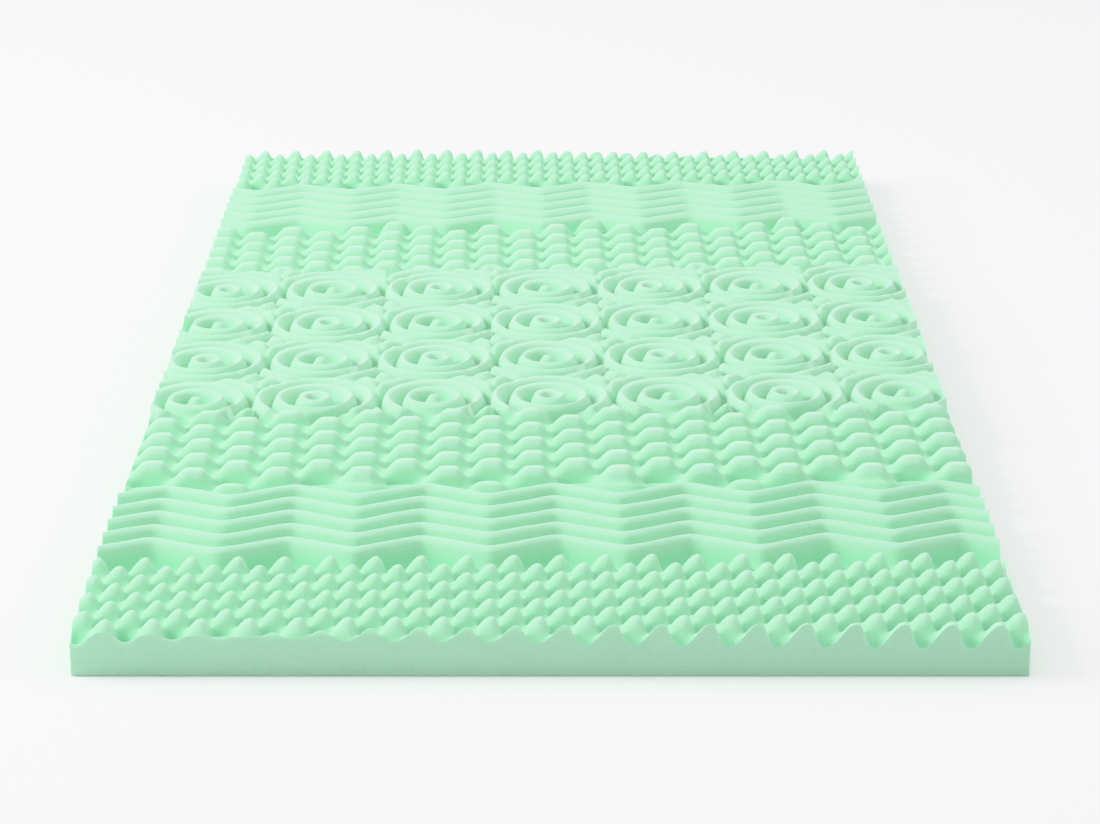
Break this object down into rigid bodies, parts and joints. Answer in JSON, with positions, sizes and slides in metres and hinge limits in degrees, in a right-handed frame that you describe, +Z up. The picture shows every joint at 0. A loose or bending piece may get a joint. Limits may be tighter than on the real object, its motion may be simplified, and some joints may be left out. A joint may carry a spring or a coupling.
{
  "type": "mattress topper",
  "caption": "Single-bed mattress topper: one slab of soft green convoluted foam, flat underneath, with bands of peaks, wavy ribs, knobs and ringed rounds across its upper face",
  "frame": {"origin": "middle of the flat underside", "axes": "+Z is up through the slab's thickness, out of its relief face. +Y runs along its length, from foot to head. +X runs across its width."},
  "size_m": [0.92, 1.88, 0.055],
  "materials": {
    "green_foam": "matt open-cell polyurethane foam, pale mint green"
  },
  "bodies": {
    "root": {"foam_slab": "green_foam"}
  },
  "joints": []
}
